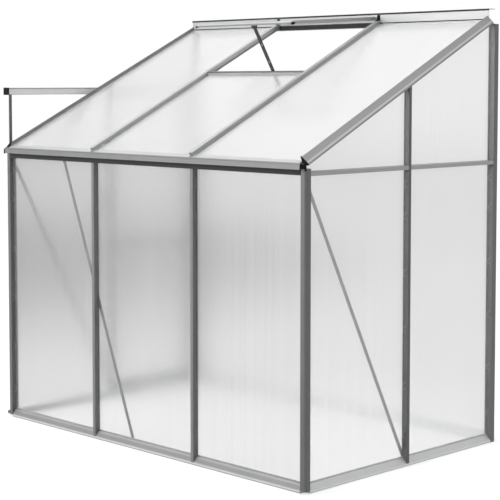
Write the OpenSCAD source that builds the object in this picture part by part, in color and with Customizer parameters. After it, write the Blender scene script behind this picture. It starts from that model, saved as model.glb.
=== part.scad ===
// Lean-to greenhouse of aluminium glazing bars and twin-wall sheets.
// The open back stands against a house wall. A door slides along the left gable,
// and the middle bay of the roof has a vent that a stay props open.
// X runs along the front, Y from the front to the house wall, Z up.

/* [Building] */
// Width of the frame along the front
width = 1900; // [1600:10:2400]
// Depth of the frame from the front to the house wall
depth = 1200; // [1100:10:1500]
// Height of the eave bar's underside
eave_h = 1215; // [1000:5:1600]
// Slope of the roof in degrees
pitch = 26; // [18:0.5:34]
// Depth of a gable's front bay, from the front to the middle of its glazing bar
gable_bay = 611; // [540:1:660]

/* [Glazing bars] */
// Width of a wall bar's outer fin
bar_w = 16; // [12:0.5:22]
// Thickness of the bars' walls
bar_t = 2.5; // [2:0.1:3.5]
// Width of the web between two sheets
web_w = 8; // [6:0.5:11]
// Width of the shoulder behind the sheets
shoulder_w = 20; // [16:1:32]
// How far a wall bar stands out past the sheets
wall_set = 19; // [15:0.5:26]
// How far a rafter stands out above the sheets
roof_set = 16; // [12:0.5:22]
// Width of a rafter's outer fin
rafter_w = 20; // [14:0.5:24]
// Radius of the front posts' outer corner
post_round = 12; // [6:0.5:14]

/* [Sheets] */
// Thickness of the twin-wall sheets
sheet_t = 6; // [4:0.5:8]
// Gap between a sheet's edge and the bar beside it
sheet_gap = 1; // [0.5:0.1:2]
// Running gap of a sheet in a groove, and of seats that meet loosely
seat_gap = 0.3; // [0.2:0.05:0.6]

/* [Base] */
// Height of the sill's outer lip
lip_h = 10; // [6:0.5:14]
// Height of the ledge that the sheets stand on
ledge_h = 30; // [24:1:40]
// Height of the stop in front of the sheets' feet
stop_h = 2; // [1:0.5:4]
// Rise of the upstand behind the sheets' feet above the ledge
upstand = 8; // [4:0.5:24]
// Height of the back rail
back_rail_h = 40; // [25:1:60]
// Height of the front posts' feet above the ground
foot_gap = 8; // [0:1:20]

/* [Eave and gutter] */
// Height of the eave bar's face
eave_face = 18; // [14:1:26]
// Drop of the eave bar's back wall below its face
eave_back = 5; // [4:1:24]
// Reach of the gutter past the front
gutter_out = 33; // [24:1:50]
// Distance of the gutter's left end from the frame's side
gutter_start = 35; // [0:1:60]
// Height of the gutter's outer wall
gutter_h = 20; // [16:1:30]
// Height of the gutter's back wall above its floor
gutter_back = 17; // [12:1:26]
// Overhang of the roof sheets past the gutter's back wall, along the slope
drip = 14; // [12:1:20]

/* [Roof] */
// Overhang of the middle rafters' feet past the front
rafter_foot = 4; // [0:1:12]
// Distance of the end rafters' feet behind the front
verge_foot = 6; // [5:0.5:12]
// Overhang of the end rafters past the gables
verge_out = 5; // [3:0.5:8]
// Fall of the end rafters' sloping face
verge_fall = 26; // [14:0.5:27]
// Depth of the end rafters
verge_h = 30; // [30:0.5:40]
// Depth of the ridge channel, from its face to the house wall
ridge_d = 45; // [36:1:60]
// Rise of the ridge channel above the rafters
ridge_up = 30; // [20:1:50]
// Drop of the ridge channel below the rafters
ridge_drop = 8; // [4:1:16]
// Distance of the ridge channel's ends from the frame's sides
ridge_inset = 20; // [10:1:26]

/* [Vent] */
// Length of the vent's sash down the slope
vent_len = 550; // [400:5:700]
// Angle that the vent stands open, from the roof
vent_open = 22.5; // [10:0.5:40]
// Thickness of the sash's frame
sash_t = 14; // [12:0.5:22]
// Width of the sash's frame
sash_w = 16; // [14:0.5:24]
// Gap between the sash and the rafters beside it
sash_gap = 6; // [4:0.5:12]
// Length of the tips at the ends of the sash's front rail
sash_tip = 4; // [1:0.5:5]
// Radius of the hinge bead
hinge_r = 5; // [3:0.5:7]
// Width of the vent's stay
stay_w = 19; // [10:0.5:24]
// Thickness of the stay
stay_t = 3; // [2:0.5:4]
// Length of the stay below the sill that it rests on
stay_tail = 75; // [40:5:120]
// Distance of the stay's head from the middle of the sash
stay_x = 65; // [-60:5:90]
// Sideways lean of the stay between its head and the sill
stay_lean = 45; // [0:5:60]

/* [Braces] */
// Width of a brace
brace_w = 15; // [10:0.5:20]
// Thickness of a brace
brace_t = 3; // [2:0.5:5]
// Half of the front brace's run along the front
brace_run = 233; // [150:1:280]
// Height of the gable braces' heads below the eave
brace_drop = 45; // [30:5:120]

/* [Door] */
// Thickness of the door's frame
door_t = 20; // [16:0.5:26]
// Width of the door's stiles and rails
stile_w = 28; // [22:0.5:36]
// Depth of the door's grooves for its sheets
groove_d = 10; // [6:0.5:14]
// Lap of the door over the frame at each side
door_lap = 13; // [6:1:20]
// Distance of the door's inner face from the gable
door_in = 15; // [15:0.5:22]
// Height of the door's lower edge
door_foot = 30; // [26:1:45]
// Gap between the door and its track
door_head = 6; // [5:0.5:10]
// Height of the middle of the door's cross rail
door_mid = 760; // [500:10:1000]
// Height of the track
track_h = 32; // [28:0.5:40]
// Distance of the track from the gable
track_in = 5.5; // [5.5:0.1:8]
// Distance of the track's front end behind the front
track_start = 24; // [18:1:32]
// Gap between the track and the end rafter above the door's front jamb
track_drop = 14; // [5:0.5:26]
// Width of the slot under the track
track_slot = 10; // [8:0.5:14]
// Radius of the door's wheels
wheel_r = 9; // [7:0.5:10]
// Height of the floor guide
guide_h = 14; // [12:0.5:22]
// Distance of the floor guide's front end behind the front
guide_start = 25; // [0:1:35]
// Reach of the handle past the door
handle_out = 28; // [20:1:40]
// Height of the handle's middle
handle_z = 960; // [800:10:1200]
// Length of the handle
handle_len = 150; // [110:5:200]

/* [Wall fixings] */
// Radius of the fixing holes in the back posts
fix_r = 3.5; // [2.5:0.25:5]
// Height of the lower fixing holes
fix_low = 300; // [150:10:500]
// Height of the upper fixing holes
fix_high = 1500; // [1000:10:1600]

/* [Hidden] */
$fn = 48;

// Colours of the metal, the sheets and the black mouldings
metal = [0.62, 0.63, 0.64];
sheet = [0.86, 0.89, 0.9, 0.6];
moulding = [0.06, 0.06, 0.06];

// Plan of the glazing: outer face at 0, sheets behind the fins, shoulders behind the sheets
sheet_in = wall_set + sheet_t;
bar_d = sheet_in + bar_t;
wing = shoulder_w / 2;
bay = width / 3;
gable_x = gable_bay + bar_w / 2;
upstand_h = ledge_h + upstand;

// Heights at the eave and along the roof
gutter_z = eave_h + eave_face;
gutter_floor = gutter_z + bar_t;
roof_under = roof_set + sheet_t;
deck = roof_under + bar_t;
roof_z = gutter_floor + gutter_back + seat_gap + roof_under / cos(pitch);
ridge_y = depth - ridge_d;
ridge_low = below_roof(ridge_y, deck) - ridge_drop;
ridge_top = roof_at(ridge_y) + ridge_up;
sky = 2 * ridge_top;
rail_z = eave_h;
sheet_under = sheet_gap - verge_soffit(-wall_set);

// Places along the slope, measured from above the front face
run_top = (ridge_y - seat_gap - roof_under * sin(pitch)) / cos(pitch);
vent_run = ridge_y / cos(pitch) - vent_len;

// The sash lies in its own plane, with its hinge bead at the ridge
sash_x0 = bay + rafter_w / 2 + sash_gap;
sash_x1 = 2 * bay - rafter_w / 2 - sash_gap;
sash_mid = (sash_x0 + sash_x1) / 2;
hinge_y = ridge_y - hinge_r - seat_gap;
hinge_z = roof_at(ridge_y) + sash_t / 2;
sash_slope = pitch - vent_open;
sash_bite = sash_w / 2;

// The door and its track
door_y0 = gable_x - door_lap;
door_y1 = depth - bar_d + door_lap;
door_x = -door_in - door_t / 2;
track_top = below_roof(gable_x, verge_h) - track_drop;
track_z = track_top - track_h;
track_x = 2 * door_x + track_in;
head_z = track_z + track_h / 2;
door_z1 = track_z - door_head;
track_end = 4;

// Thickness of the end caps, and how far the cutting shapes overshoot
cap_t = 3;
over = 1;

// The part's box is centred on the origin, so the frame's corner lies off it
left_reach = door_in + door_t + handle_out;
right_reach = verge_out + cap_t;
front_reach = gutter_out + cap_t;
frame_x = (left_reach - right_reach - width) / 2;
frame_y = (front_reach - depth) / 2;

// Height of the rafters' tops at a distance from the front, and of a plane below them
function roof_at(y) = roof_z + y * tan(pitch);
function below_roof(y, n) = roof_at(y) - n / cos(pitch);

// Places of the object's planes
module placed() {
    translate([frame_x, frame_y, 0]) children();
}
module on_right() {
    translate([width, 0, 0]) rotate([0, 0, 90]) children();
}
module on_left() {
    mirror([1, -1, 0]) children();
}
module on_roof() {
    translate([0, 0, roof_z]) rotate([pitch, 0, 0]) children();
}
module on_sash() {
    translate([0, hinge_y, hinge_z]) rotate([sash_slope, 0, 0]) children();
}
module at_right_end() {
    translate([width, 0, 0]) mirror([1, 0, 0]) children();
}

// Straight pieces: a profile along X or Y, and a block between two corners
module along_x(from, to, profile) {
    translate([from, 0, 0]) rotate([90, 0, 90]) linear_extrude(to - from) polygon(profile);
}
module along_y(from, to, profile) {
    translate([0, to, 0]) rotate([90, 0, 0]) linear_extrude(to - from) polygon(profile);
}
module block(low, high) {
    translate(low) cube(high - low);
}

// Base: a sill with a sloping face, a ledge for the sheets and an upstand behind them
sill_profile = [
    [0, 0], [bar_d, 0], [bar_d, bar_t], [bar_t, bar_t], [bar_t, lip_h - bar_t / 2],
    [wall_set - stop_h / 4, ledge_h - bar_t], [bar_d, ledge_h - bar_t], [bar_d, upstand_h],
    [sheet_in, upstand_h], [sheet_in, ledge_h], [wall_set, ledge_h],
    [wall_set, ledge_h + stop_h], [wall_set - stop_h, ledge_h + stop_h], [0, lip_h]
];
module base_front() {
    color(metal) placed() along_x(bar_d, width - bar_d, sill_profile);
}
module base_right() {
    color(metal) placed() on_right() along_x(bar_d, depth - bar_d, sill_profile);
}
module base_left() {
    color(metal) placed() on_left() difference() {
        along_x(bar_d, depth - bar_d, sill_profile);
        block([gable_bay + wing, sheet_in - over, ledge_h], [depth, bar_d + over, upstand_h + over]);
    }
}
module base_back() {
    color(metal) placed() along_x(bar_d, width - bar_d, [
        [depth - bar_d, 0], [depth, 0], [depth, back_rail_h],
        [depth - bar_t, back_rail_h], [depth - bar_t, bar_t], [depth - bar_d, bar_t]
    ]);
}

// Posts: a tube with a wing behind each sheet that it holds, and a round corner at the front
module post_bore(low, high) {
    block([bar_t, bar_t, low - over], [bar_d - bar_t, bar_d - bar_t, high + over]);
}
module post_tube(low, high) {
    difference() {
        block([0, 0, low], [bar_d, bar_d, high]);
        post_bore(low, high);
    }
}
module round_tube(low, high) {
    bore_round = post_round - bar_t;
    difference() {
        union() {
            block([post_round, 0, low], [bar_d, bar_d, high]);
            block([0, post_round, low], [bar_d, bar_d, high]);
            translate([post_round, post_round, low]) cylinder(h = high - low, r = post_round);
        }
        difference() {
            post_bore(low, high);
            block([0, 0, low - 2 * over], [post_round, post_round, high + 2 * over]);
        }
        translate([post_round, post_round, low - over])
            cylinder(h = high - low + 2 * over, r = bore_round);
    }
}
module front_post() {
    round_tube(foot_gap, gutter_z);
    block([sheet_in, sheet_in, upstand_h], [bar_d + wing, bar_d, eave_h - eave_back]);
    block([sheet_in, sheet_in, upstand_h], [bar_d, bar_d + wing, gutter_z]);
}
module back_post(wing_low) {
    difference() {
        translate([0, depth - bar_d, 0]) post_tube(0, ridge_low);
        for (z = [fix_low, fix_high]) {
            translate([bar_d / 2, depth + over, z]) rotate([90, 0, 0])
                cylinder(h = bar_t + 2 * over, r = fix_r);
        }
    }
    block([sheet_in, depth - bar_d - wing, wing_low], [bar_d, depth - sheet_in, ridge_low]);
}
module front_left_post() {
    color(metal) placed() front_post();
}
module front_right_post() {
    color(metal) placed() at_right_end() front_post();
}
module back_left_post() {
    color(metal) placed() back_post(head_z);
}
module back_right_post() {
    color(metal) placed() at_right_end() back_post(upstand_h);
}

// Glazing bars of the walls: a fin outside, a web between the sheets, a shoulder inside
module wall_bar(fin_top, web_top, shoulder_top) {
    along_x(-bar_w / 2, bar_w / 2, [
        [0, lip_h], [wall_set - stop_h, ledge_h + stop_h], [wall_set, ledge_h + stop_h],
        [wall_set, fin_top], [0, fin_top]
    ]);
    block([-web_w / 2, wall_set / 2, ledge_h + stop_h], [web_w / 2, sheet_in, web_top]);
    block([-web_w / 2, wall_set / 2, upstand_h], [web_w / 2, bar_d, shoulder_top]);
    block([-wing, sheet_in, upstand_h], [wing, bar_d, shoulder_top]);
}
module front_mullion(x) {
    translate([x, 0, 0]) wall_bar(eave_h, gutter_z - bar_t, eave_h - eave_back);
}
module gable_mullion() {
    intersection() {
        translate([gable_bay, 0, 0]) wall_bar(sky, sky, sky);
        along_y(-over, bar_d + over, [
            [0, 0], [depth, 0], [depth, below_roof(depth, deck)], [0, below_roof(0, deck)]
        ]);
    }
}
module front_left_mullion() {
    color(metal) placed() front_mullion(bay);
}
module front_right_mullion() {
    color(metal) placed() front_mullion(2 * bay);
}
module right_mullion() {
    color(metal) placed() on_right() gable_mullion();
}
module left_mullion() {
    color(metal) placed() on_left() gable_mullion();
}

// Cross rails of the gables, in the front bay or in the back bay
module rail(z, out, fin, web, shoulder) {
    block([fin[0], -out, z - bar_w / 2], [fin[1], wall_set, z + bar_w / 2]);
    block([web[0], wall_set, z - web_w / 2], [web[1], sheet_in, z + web_w / 2]);
    block([shoulder[0], wall_set / 2, z - web_w / 2], [shoulder[1], bar_d, z + web_w / 2]);
    block([shoulder[0], sheet_in, z - wing], [shoulder[1], bar_d, z + wing]);
}
module front_bay_rail(z) {
    rail(
        z, 0, [bar_d, gable_bay - bar_w / 2], [bar_d, gable_bay - web_w / 2],
        [bar_d + wing, gable_bay - wing]
    );
}
module back_bay_rail(z, out) {
    rail(
        z, out, [gable_x, depth - bar_d], [gable_bay + web_w / 2, depth - bar_d],
        [gable_bay + wing, depth - bar_d - wing]
    );
}
module right_rails() {
    color(metal) placed() on_right() {
        front_bay_rail(rail_z);
        back_bay_rail(rail_z, 0);
    }
}
module left_rails() {
    color(metal) placed() on_left() {
        front_bay_rail(rail_z);
        back_bay_rail(head_z, track_in);
    }
}

// Eave bar and gutter: one section, whose lower walls end at the posts
module eave_gutter() {
    color(metal) placed() {
        along_x(0, width, [
            [0, gutter_z], [bar_d, gutter_z], [bar_d, gutter_floor], [bar_t, gutter_floor],
            [bar_t, below_roof(bar_t, roof_under) - seat_gap], [0, below_roof(0, roof_under) - seat_gap]
        ]);
        along_x(gutter_start, width, [
            [-gutter_out, gutter_z], [bar_t, gutter_z], [bar_t, gutter_floor],
            [bar_t - gutter_out, gutter_floor], [bar_t - gutter_out, gutter_z + gutter_h],
            [-gutter_out, gutter_z + gutter_h]
        ]);
        block([bar_d, 0, eave_h], [width - bar_d, bar_t, gutter_floor]);
        block([bar_d, sheet_in, eave_h - eave_back], [width - bar_d, bar_d, gutter_floor]);
    }
}

// End rafters: a sloping face over the gable's edge, with a shoulder for the roof sheet
function verge_soffit(x) =
    let (fall = verge_fall / (bar_d + verge_out))
    -(x + bar_d) * fall - bar_t * sqrt(1 + fall * fall);
verge_leg = sheet_in + seat_gap;
verge_profile = [
    [bar_d, 0], [-verge_out, -verge_fall], [-verge_out, -verge_h], [bar_t - verge_out, -verge_h],
    [bar_t - verge_out, verge_soffit(verge_out - bar_t)], [verge_leg, verge_soffit(-verge_leg)],
    [verge_leg, -deck], [bar_d + wing, -deck], [bar_d + wing, -roof_under], [bar_d, -roof_under]
];
module end_rafter() {
    intersection() {
        on_roof() along_y(-bar_d, run_top + bar_d, verge_profile);
        block([-bar_d, verge_foot, 0], [2 * bar_d + wing, ridge_y, sky]);
    }
}
module left_end_rafter() {
    color(metal) placed() end_rafter();
}
module right_end_rafter() {
    color(metal) placed() at_right_end() end_rafter();
}

// Middle rafters
module rafter(x) {
    foot = -rafter_foot / cos(pitch);
    head = run_top + deck;
    intersection() {
        on_roof() {
            block([x - rafter_w / 2, foot, -roof_set], [x + rafter_w / 2, head, 0]);
            block([x - web_w / 2, foot, -roof_under], [x + web_w / 2, head, -roof_set / 2]);
            block([x - web_w / 2, 0, -deck], [x + web_w / 2, head, -roof_set / 2]);
            block([x - wing, 0, -deck], [x + wing, head, -roof_under]);
        }
        block([x - bay / 4, -depth, 0], [x + bay / 4, ridge_y, sky]);
    }
}
module left_rafter() {
    color(metal) placed() rafter(bay);
}
module right_rafter() {
    color(metal) placed() rafter(2 * bay);
}

// Ridge: a channel on the back posts, open to the house wall
module ridge_bar() {
    color(metal) placed() along_x(ridge_inset, width - ridge_inset, [
        [ridge_y, ridge_low], [depth, ridge_low], [depth, ridge_low + bar_t],
        [ridge_y + bar_t, ridge_low + bar_t], [ridge_y + bar_t, ridge_top - bar_t],
        [depth, ridge_top - bar_t], [depth, ridge_top], [ridge_y, ridge_top]
    ]);
}

// Black end caps of the gutter, the end rafters and the track
cap_chamfer = 4;
cap_leg = 6;
cap_lap = 1;
module gutter_cap(back_top) {
    cap_foot = gutter_z - bar_t;
    cap_top = gutter_z + gutter_h;
    along_x(-cap_t, 0, [
        [-front_reach, cap_foot], [-front_reach, cap_top - cap_t],
        [cap_chamfer - gutter_out, cap_top + cap_t], [-gutter_out / 2, cap_top], [0, back_top],
        [0, cap_foot - cap_chamfer], [-cap_leg, cap_foot - cap_chamfer],
        [-cap_leg - cap_t, gutter_floor], [cap_chamfer - gutter_out, gutter_floor], [-gutter_out, cap_foot]
    ]);
}
module rafter_cap() {
    y = verge_foot;
    along_y(y - cap_t, y, [
        [bar_d + cap_t, roof_at(y) + cap_t], [-right_reach, below_roof(y, verge_fall - cap_t)],
        [-right_reach, below_roof(y, verge_fall + cap_t)], [wall_set / 2, below_roof(y, verge_fall)],
        [wall_set / 2, gutter_floor], [wall_set, gutter_floor], [wall_set, below_roof(y, verge_fall)],
        [bar_d + cap_t, below_roof(y, cap_t)]
    ]);
}
module track_cap(y) {
    block([track_x - cap_lap, y, track_z - cap_lap], [cap_lap - track_in, y + cap_t, track_top + cap_lap]);
}
module end_caps() {
    color(moulding) placed() {
        translate([gutter_start, 0, 0]) gutter_cap(gutter_z + gutter_h / 2);
        at_right_end() gutter_cap(gutter_z + gutter_h + cap_t);
        rafter_cap();
        at_right_end() rafter_cap();
        track_cap(track_start - cap_t);
        track_cap(depth - track_end);
    }
}

// Wall sheets: an outline in the plane of a wall, behind its fins
module wall_sheet(outline) {
    color(sheet) along_y(wall_set, sheet_in, outline);
}
function box_outline(x0, x1, z0, z1) = [[x0, z0], [x1, z0], [x1, z1], [x0, z1]];
bar_edge = web_w / 2 + sheet_gap;
post_edge = bar_d + sheet_gap;
front_sheet_top = gutter_z - bar_t - sheet_gap;
module front_left_panel() {
    placed() wall_sheet(box_outline(post_edge, bay - bar_edge, ledge_h, front_sheet_top));
}
module front_middle_panel() {
    placed() wall_sheet(box_outline(bay + bar_edge, 2 * bay - bar_edge, ledge_h, front_sheet_top));
}
module front_right_panel() {
    placed() wall_sheet(box_outline(2 * bay + bar_edge, width - post_edge, ledge_h, front_sheet_top));
}

// Gable sheets: the lower ones end at the cross rail, the upper ones follow the roof
gable_sheet_top = rail_z - bar_edge;
gable_sheet_foot = rail_z + web_w / 2;
front_lower = box_outline(post_edge, gable_bay - bar_edge, ledge_h, gable_sheet_top);
back_lower = box_outline(gable_bay + bar_edge, depth - post_edge, ledge_h, gable_sheet_top);
front_upper = [
    [verge_foot + sheet_gap, gutter_floor + sheet_gap], [post_edge, gutter_floor + sheet_gap],
    [post_edge, gable_sheet_foot], [gable_bay - bar_edge, gable_sheet_foot],
    [gable_bay - bar_edge, below_roof(gable_bay - bar_edge, sheet_under)],
    [verge_foot + sheet_gap, below_roof(verge_foot + sheet_gap, sheet_under)]
];
function back_upper(foot) = [
    [gable_bay + bar_edge, foot], [depth - post_edge, foot],
    [depth - post_edge, ridge_low - sheet_gap], [ridge_y - sheet_gap, ridge_low - sheet_gap],
    [ridge_y - sheet_gap, below_roof(ridge_y - sheet_gap, sheet_under)],
    [gable_bay + bar_edge, below_roof(gable_bay + bar_edge, sheet_under)]
];
module right_front_panel() {
    placed() on_right() wall_sheet(front_lower);
}
module right_back_panel() {
    placed() on_right() wall_sheet(back_lower);
}
module right_front_top_panel() {
    placed() on_right() wall_sheet(front_upper);
}
module right_back_top_panel() {
    placed() on_right() wall_sheet(back_upper(gable_sheet_foot));
}
module left_front_panel() {
    placed() on_left() wall_sheet(front_lower);
}
module left_front_top_panel() {
    placed() on_left() wall_sheet(front_upper);
}
module over_door_panel() {
    placed() on_left() wall_sheet(back_upper(head_z + web_w / 2));
}

// Roof sheets
module roof_sheet(x0, x1, top) {
    color(sheet) placed() on_roof() block([x0, -drip, -roof_under], [x1, top, -roof_set]);
}
module roof_left_panel() {
    roof_sheet(post_edge, bay - bar_edge, run_top);
}
module roof_middle_panel() {
    roof_sheet(bay + bar_edge, 2 * bay - bar_edge, vent_run + sill_lap - sheet_gap);
}
module roof_right_panel() {
    roof_sheet(2 * bay + bar_edge, width - post_edge, run_top);
}

// Sill of the vent: a bar across the bay, over the top edge of the sheet below it
sill_lap = 10;
sill_top = 4;
sill_back = 22;
peg_r = 3;
peg_under = 10;
module vent_sill() {
    flange = seat_gap - roof_set;
    plate = sill_lap + bar_t;
    color(metal) placed() on_roof() translate([0, vent_run, 0]) {
        along_x(bay + rafter_w / 2, 2 * bay - rafter_w / 2, [
            [0, flange], [sill_lap, flange], [sill_lap, -roof_under], [plate, -roof_under],
            [plate, -sill_top - bar_t], [sill_back, -sill_top - bar_t], [sill_back, -sill_top],
            [sill_lap, -sill_top], [sill_lap, flange + bar_t], [0, flange + bar_t]
        ]);
        translate([stay_rest_x, sill_lap, -peg_under]) rotate([-90, 0, 0])
            cylinder(h = sill_back - sill_lap, r = peg_r);
    }
}

// Vent: a framed sheet on a hinge bead that hangs from the ridge
module vent_sash() {
    bite = sheet_t / 2 + seat_gap;
    color(metal) placed() on_sash() {
        difference() {
            union() {
                block([sash_x0, -vent_len, -sash_t / 2], [sash_x1, 0, sash_t / 2]);
                block(
                    [sash_x0 - sash_tip, -vent_len, -sash_t / 2],
                    [sash_x1 + sash_tip, sash_w - vent_len, 0]
                );
                translate([sash_x0, 0, 0]) rotate([0, 90, 0])
                    cylinder(h = sash_x1 - sash_x0, r = hinge_r);
            }
            block([sash_x0 + sash_w, sash_w - vent_len, -sash_t], [sash_x1 - sash_w, -sash_w, sash_t]);
            block(
                [sash_x0 + sash_bite, sash_bite - vent_len, -bite],
                [sash_x1 - sash_bite, -sash_bite, bite]
            );
        }
    }
}
module vent_panel() {
    edge = sash_bite + seat_gap;
    color(sheet) placed() on_sash() block(
        [sash_x0 + edge, edge - vent_len, -sheet_t / 2], [sash_x1 - edge, -edge, sheet_t / 2]
    );
}

// Stay: a flat bar that hangs from the sash's front rail and rests on the sill's peg
stay_head_x = sash_mid + stay_x;
stay_rest_x = stay_head_x + stay_lean;
rest_run = vent_run + sill_back + seat_gap + stay_t / 2;
rest_y = rest_run * cos(pitch) + peg_under * sin(pitch);
rest_z = roof_z + rest_run * sin(pitch) - peg_under * cos(pitch);
bracket_h = 6;
bracket_in = 2;
pivot_drop = sash_t / 2 + bracket_h;
pivot_run = vent_len - sash_w / 2;
pivot_y = hinge_y - pivot_run * cos(sash_slope) + pivot_drop * sin(sash_slope);
pivot_z = hinge_z - pivot_run * sin(sash_slope) - pivot_drop * cos(sash_slope);
stay_tilt = atan2(rest_y - pivot_y, pivot_z - rest_z);
stay_drop = norm([rest_y - pivot_y, pivot_z - rest_z]);
stay_side = atan2(stay_lean, stay_drop);
stay_len = norm([stay_drop, stay_lean]) + stay_tail;
module vent_stay() {
    color(moulding) placed() {
        on_sash() block(
            [stay_head_x - stay_w, bracket_in - vent_len, -pivot_drop - stay_t],
            [stay_head_x + stay_w, sash_w - vent_len - bracket_in, -sash_t / 2]
        );
        translate([stay_head_x, pivot_y, pivot_z]) rotate([stay_tilt, 0, 0]) rotate([0, -stay_side, 0])
            block([-stay_w / 2, -stay_t / 2, -stay_len], [stay_w / 2, stay_t / 2, 0]);
    }
}

// Braces: flat bars against the inner faces of the bars that they cross
brace_end = brace_w / 4;
brace_corner = norm([brace_end, brace_w / 2]);
module brace(from, to) {
    run = to - from;
    color(metal) translate([from[0], bar_d, from[1]]) rotate([0, -atan2(run[1], run[0]), 0])
        block([-brace_end, 0, -brace_w / 2], [norm(run) + brace_end, brace_t, brace_w / 2]);
}
brace_foot = upstand_h - brace_w / 2;
module gable_brace() {
    brace([bar_d + brace_corner + seat_gap, eave_h - brace_drop], [gable_bay, brace_foot]);
}
module front_brace() {
    placed() brace([bay - brace_run, eave_h], [bay + brace_run, brace_foot]);
}
module right_brace() {
    placed() on_right() gable_brace();
}
module left_brace() {
    placed() on_left() gable_brace();
}

// Door track: a channel with a slot below, for the door's wheels
track_y1 = depth - track_end;
module door_track() {
    slot0 = door_x - track_slot / 2;
    slot1 = door_x + track_slot / 2;
    color(metal) placed() along_y(track_start, track_y1, [
        [track_x, track_z], [slot0, track_z], [slot0, track_z + bar_t], [track_x + bar_t, track_z + bar_t],
        [track_x + bar_t, track_top - bar_t], [-track_in - bar_t, track_top - bar_t],
        [-track_in - bar_t, track_z + bar_t], [slot1, track_z + bar_t], [slot1, track_z],
        [-track_in, track_z], [-track_in, track_top], [track_x, track_top]
    ]);
}

// Strut that holds the front end of the track, on the gable's cross rail
strut_t = 3.5;
module track_strut() {
    strut_y1 = track_start + brace_w;
    foot_z = rail_z - brace_w / 2;
    color(metal) placed() {
        block([-track_in - strut_t, track_start, foot_z], [-track_in, strut_y1, track_z]);
        block([-track_in - strut_t, track_start, foot_z], [0, strut_y1, foot_z + brace_w]);
    }
}

// Floor guide: a channel that keeps the door's foot in line
module door_guide() {
    color(metal) placed() along_y(guide_start, track_y1, [
        [track_x, 0], [0, 0], [0, bar_t], [-track_in, bar_t], [-track_in, guide_h],
        [-track_in - bar_t, guide_h], [-track_in - bar_t, bar_t], [track_x + bar_t, bar_t],
        [track_x + bar_t, guide_h], [track_x, guide_h]
    ]);
}

// Door: stiles and rails with grooves for two sheets
groove_t = sheet_t / 2 + seat_gap;
rail_y0 = door_y0 + stile_w;
rail_y1 = door_y1 - stile_w;
groove_z0 = door_foot + stile_w - groove_d;
groove_z1 = door_z1 - stile_w + groove_d;
module door_block(y0, y1, z0, z1) {
    block([-door_in - door_t, y0, z0], [-door_in, y1, z1]);
}
module door_groove(y0, y1, z0, z1) {
    block([door_x - groove_t, y0, z0], [door_x + groove_t, y1, z1]);
}
module door_stiles() {
    color(metal) placed() {
        difference() {
            door_block(door_y0, rail_y0, door_foot, door_z1);
            door_groove(rail_y0 - groove_d, rail_y0 + over, groove_z0, groove_z1);
        }
        difference() {
            door_block(rail_y1, door_y1, door_foot, door_z1);
            door_groove(rail_y1 - over, rail_y1 + groove_d, groove_z0, groove_z1);
        }
    }
}
fin_t = 4;
fin_foot = 8;
module door_rail(z0, cut0, cut1) {
    difference() {
        door_block(rail_y0, rail_y1, z0, z0 + stile_w);
        if (cut0 > 0) {
            door_groove(rail_y0 - over, rail_y1 + over, z0 - over, z0 + cut0);
        }
        if (cut1 > 0) {
            door_groove(rail_y0 - over, rail_y1 + over, z0 + stile_w - cut1, z0 + stile_w + over);
        }
    }
}
module door_rails() {
    color(metal) placed() {
        door_rail(door_foot, 0, groove_d);
        block(
            [door_x - fin_t / 2, rail_y0, fin_foot],
            [door_x + fin_t / 2, rail_y1, door_foot + stile_w / 2]
        );
        door_rail(door_mid - stile_w / 2, groove_d, groove_d);
        door_rail(door_z1 - stile_w, groove_d, 0);
    }
}
module door_sheet(z0, z1) {
    edge = groove_d - seat_gap;
    color(sheet) placed() block(
        [door_x - sheet_t / 2, rail_y0 - edge, z0 - edge],
        [door_x + sheet_t / 2, rail_y1 + edge, z1 + edge]
    );
}
module door_lower_panel() {
    door_sheet(door_foot + stile_w, door_mid - stile_w / 2);
}
module door_upper_panel() {
    door_sheet(door_mid + stile_w / 2, door_z1 - stile_w);
}

// Hangers: a plate through the track's slot with a wheel on each side
hanger_t = 3;
hanger_w = 40;
hanger_in = 100;
axle_r = 3;
wheel_gap = 1;
axle_z = track_z + bar_t + seat_gap + wheel_r;
module door_wheel(x0, x1) {
    translate([x0, 0, 0]) rotate([0, 90, 0]) cylinder(h = x1 - x0, r = wheel_r);
}
module hanger(y) {
    wheel_in = track_slot / 2 + wheel_gap;
    wheel_out = door_x - track_x - bar_t - 2 * wheel_gap;
    block(
        [door_x - hanger_t / 2, y - hanger_w / 2, door_z1],
        [door_x + hanger_t / 2, y + hanger_w / 2, axle_z + axle_r]
    );
    translate([door_x, y, axle_z]) {
        translate([-wheel_out, 0, 0]) rotate([0, 90, 0]) cylinder(h = 2 * wheel_out, r = axle_r);
        door_wheel(-wheel_out, -wheel_in);
        door_wheel(wheel_in, wheel_out);
    }
}
module door_hangers() {
    color(moulding) placed() {
        hanger(door_y0 + hanger_in);
        hanger(door_y1 - hanger_in);
    }
}

// Handle: a grip on two feet, on the door's front stile
grip_w = 14;
grip_t = 10;
module door_handle() {
    y0 = door_y0 + (stile_w - grip_w) / 2;
    x0 = -left_reach;
    x1 = -door_in - door_t;
    z0 = handle_z - handle_len / 2;
    z1 = handle_z + handle_len / 2;
    color(moulding) placed() {
        block([x0, y0, z0], [x0 + grip_t, y0 + grip_w, z1]);
        for (z = [z0, z1 - grip_w]) {
            block([x0, y0, z], [x1, y0 + grip_w, z + grip_w]);
        }
    }
}

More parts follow.
